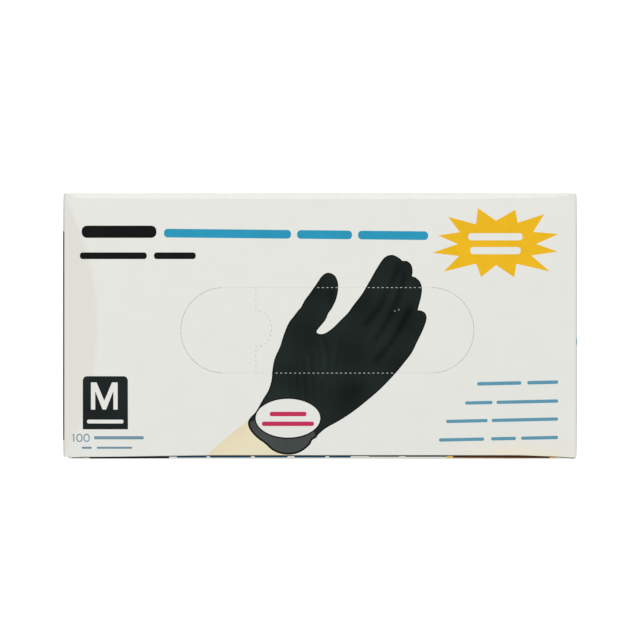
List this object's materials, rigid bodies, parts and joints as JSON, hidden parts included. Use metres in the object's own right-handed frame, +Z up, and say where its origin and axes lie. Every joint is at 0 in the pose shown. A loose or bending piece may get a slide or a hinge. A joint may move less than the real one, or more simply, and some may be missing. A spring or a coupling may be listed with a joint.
{
  "type": "disposable glove dispenser carton",
  "caption": "Closed oblong folding carton packed with flat disposable gloves, with a perforated tear-out dispensing opening in its top panel and folded, glued end flaps.",
  "frame": {"origin": "centre of the underside of the bottom panel, on the plane the carton rests on", "axes": "+Z up through the top panel with the tear-out opening; +X along the long side towards the right end flap; +Y towards the back panel"},
  "size_m": [0.23, 0.122, 0.0618],
  "materials": {
    "coated_board": "coated white folding boxboard with a soft satin print face and uncoated grey-white inside",
    "glove_film": "thin black glove film, satin with fine wrinkles",
    "hot_melt": "amber hot-melt adhesive dabs",
    "seam_adhesive": "dried white seam adhesive"
  },
  "bodies": {
    "carton": {"top_panel": "coated_board", "bottom_panel": "coated_board", "front_panel": "coated_board", "back_panel": "coated_board", "glue_flap": "coated_board", "seam_glue": "seam_adhesive", "glove_bundle_1": "glove_film", "glove_bundle_2": "glove_film", "glove_bundle_3": "glove_film", "glove_bundle_4": "glove_film", "top_glove": "glove_film"},
    "left_outer_flap": {"left_outer_flap": "coated_board", "left_end_glue": "hot_melt"},
    "left_inner_flap": {"left_inner_flap": "coated_board"},
    "left_front_dust_flap": {"left_front_dust_flap": "coated_board"},
    "left_back_dust_flap": {"left_back_dust_flap": "coated_board"},
    "right_outer_flap": {"right_outer_flap": "coated_board", "right_end_glue": "hot_melt"},
    "right_inner_flap": {"right_inner_flap": "coated_board"},
    "right_front_dust_flap": {"right_front_dust_flap": "coated_board"},
    "right_back_dust_flap": {"right_back_dust_flap": "coated_board"},
    "opening_left_section": {"opening_left_section": "coated_board"},
    "opening_center_section": {"opening_center_section": "coated_board"},
    "opening_right_section": {"opening_right_section": "coated_board"}
  },
  "joints": [
    {"name": "left_outer_flap_fold", "type": "hinge", "parent": "carton", "child": "left_outer_flap", "pos_m": [-0.115, 0, 0.06], "axis": [0, 1, 0], "range_deg": [0, 120]},
    {"name": "left_inner_flap_fold", "type": "hinge", "parent": "carton", "child": "left_inner_flap", "pos_m": [-0.11435, 0, 0], "axis": [0, -1, 0], "range_deg": [0, 90]},
    {"name": "left_front_dust_flap_fold", "type": "hinge", "parent": "carton", "child": "left_front_dust_flap", "pos_m": [-0.1137, -0.059, 0.03], "axis": [0, 0, 1], "range_deg": [0, 60]},
    {"name": "left_back_dust_flap_fold", "type": "hinge", "parent": "carton", "child": "left_back_dust_flap", "pos_m": [-0.1137, 0.059, 0.03], "axis": [0, 0, -1], "range_deg": [0, 60]},
    {"name": "right_outer_flap_fold", "type": "hinge", "parent": "carton", "child": "right_outer_flap", "pos_m": [0.115, 0, 0.06], "axis": [0, -1, 0], "range_deg": [0, 120]},
    {"name": "right_inner_flap_fold", "type": "hinge", "parent": "carton", "child": "right_inner_flap", "pos_m": [0.11435, 0, 0], "axis": [0, 1, 0], "range_deg": [0, 90]},
    {"name": "right_front_dust_flap_fold", "type": "hinge", "parent": "carton", "child": "right_front_dust_flap", "pos_m": [0.1137, -0.059, 0.03], "axis": [0, 0, -1], "range_deg": [0, 60]},
    {"name": "right_back_dust_flap_fold", "type": "hinge", "parent": "carton", "child": "right_back_dust_flap", "pos_m": [0.1137, 0.059, 0.03], "axis": [0, 0, 1], "range_deg": [0, 60]},
    {"name": "opening_left_section_tear", "type": "hinge", "parent": "carton", "child": "opening_left_section", "pos_m": [-0.0624, 0, 0.0618], "axis": [0, -1, 0], "range_deg": [0, 150]},
    {"name": "opening_right_section_tear", "type": "hinge", "parent": "carton", "child": "opening_right_section", "pos_m": [0.0692, 0, 0.0618], "axis": [0, 1, 0], "range_deg": [0, 150]},
    {"name": "opening_center_section_tear", "type": "hinge", "parent": "carton", "child": "opening_center_section", "pos_m": [0.0034, 0.0176, 0.06164], "axis": [-1, 0, 0], "range_deg": [0, 150]}
  ],
  "couplings": [
    {"joint": "left_inner_flap_fold", "follows": "left_outer_flap_fold", "ratio": 0.75},
    {"joint": "left_front_dust_flap_fold", "follows": "left_outer_flap_fold", "ratio": 0.5},
    {"joint": "left_back_dust_flap_fold", "follows": "left_outer_flap_fold", "ratio": 0.5},
    {"joint": "right_inner_flap_fold", "follows": "right_outer_flap_fold", "ratio": 0.75},
    {"joint": "right_front_dust_flap_fold", "follows": "right_outer_flap_fold", "ratio": 0.5},
    {"joint": "right_back_dust_flap_fold", "follows": "right_outer_flap_fold", "ratio": 0.5}
  ]
}
